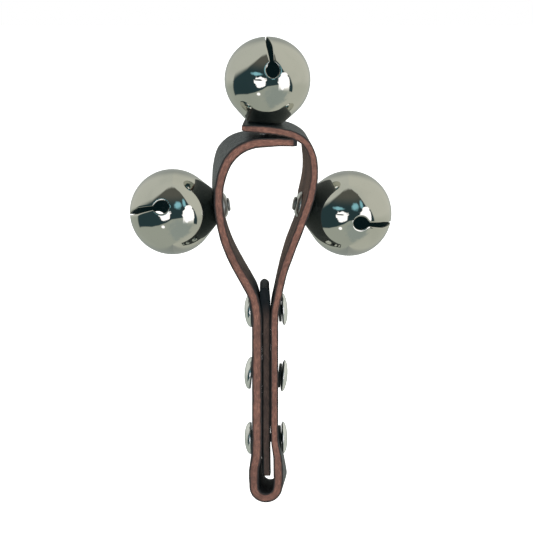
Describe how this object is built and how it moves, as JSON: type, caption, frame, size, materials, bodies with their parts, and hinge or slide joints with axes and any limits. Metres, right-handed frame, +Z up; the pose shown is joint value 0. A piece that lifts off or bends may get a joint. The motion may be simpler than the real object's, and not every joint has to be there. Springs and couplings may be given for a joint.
{
  "type": "hand sleigh bells",
  "caption": "Hand percussion: polished jingle bells riveted round the teardrop loop of a folded leather strap with a straight riveted grip.",
  "frame": {"origin": "middle of the grip: on the middle handle rivet's axis, halfway between the handle's outer faces", "axes": "+Z up along the handle towards the loop and its top bell, +X towards the right-hand bell, +Y to the back, across the width of the strap"},
  "size_m": [0.1162, 0.04, 0.2075],
  "materials": {
    "strap_leather": "thick vegetable-tanned strap leather, grey-black grain side, reddish brown cut edges, matt brown flesh side",
    "core_leather": "dark brown leather filler strip, matt",
    "bell_nickel": "polished nickel plate",
    "rivet_nickel": "nickel-plated domed heads, light handling marks",
    "washer_nickel": "nickel-plated washers and burrs, duller than the heads",
    "inner_steel": "plain steel, dull"
  },
  "bodies": {
    "strap": {"leather_strap": "strap_leather", "handle_core": "core_leather", "handle_rivet_upper": "rivet_nickel", "handle_collar_upper": "washer_nickel", "handle_cap_upper": "rivet_nickel", "handle_rivet_middle": "rivet_nickel", "handle_collar_middle": "washer_nickel", "handle_cap_middle": "rivet_nickel", "handle_rivet_lower": "rivet_nickel", "handle_collar_lower": "washer_nickel", "handle_cap_lower": "rivet_nickel", "bell_rivet_left": "inner_steel", "bell_burr_left": "washer_nickel", "bell_rivet_top": "inner_steel", "bell_burr_top": "washer_nickel", "bell_rivet_right": "inner_steel", "bell_burr_right": "washer_nickel"},
    "bell_left": {"bell_shell_left": "bell_nickel"},
    "pellet_left": {"bell_pellet_left": "inner_steel"},
    "bell_top": {"bell_shell_top": "bell_nickel"},
    "pellet_top": {"bell_pellet_top": "inner_steel"},
    "bell_right": {"bell_shell_right": "bell_nickel"},
    "pellet_right": {"bell_pellet_right": "inner_steel"}
  },
  "joints": [
    {"name": "bell_turn_left", "type": "hinge", "parent": "strap", "child": "bell_left", "pos_m": [-0.04115, -0.00079, 0.07386], "axis": [-0.9915, -0.0384, -0.1241], "continuous": true},
    {"name": "pellet_roll_left", "type": "hinge", "parent": "bell_left", "child": "pellet_left", "pos_m": [-0.04115, -0.00079, 0.07386], "axis": [0, 1, 0], "range_deg": [-65, 231]},
    {"name": "bell_turn_top", "type": "hinge", "parent": "strap", "child": "bell_top", "pos_m": [0.00103, 0.00021, 0.1327], "axis": [0.0599, 0.01, 0.9982], "continuous": true},
    {"name": "pellet_roll_top", "type": "hinge", "parent": "bell_top", "child": "pellet_top", "pos_m": [0.00103, 0.00021, 0.1327], "axis": [0, -1, 0], "range_deg": [0, 296]},
    {"name": "bell_turn_right", "type": "hinge", "parent": "strap", "child": "bell_right", "pos_m": [0.03722, 0.00123, 0.07285], "axis": [0.98, 0.06, -0.19], "continuous": true},
    {"name": "pellet_roll_right", "type": "hinge", "parent": "bell_right", "child": "pellet_right", "pos_m": [0.03722, 0.00123, 0.07285], "axis": [0, 1, 0], "range_deg": [-226, 69]}
  ]
}
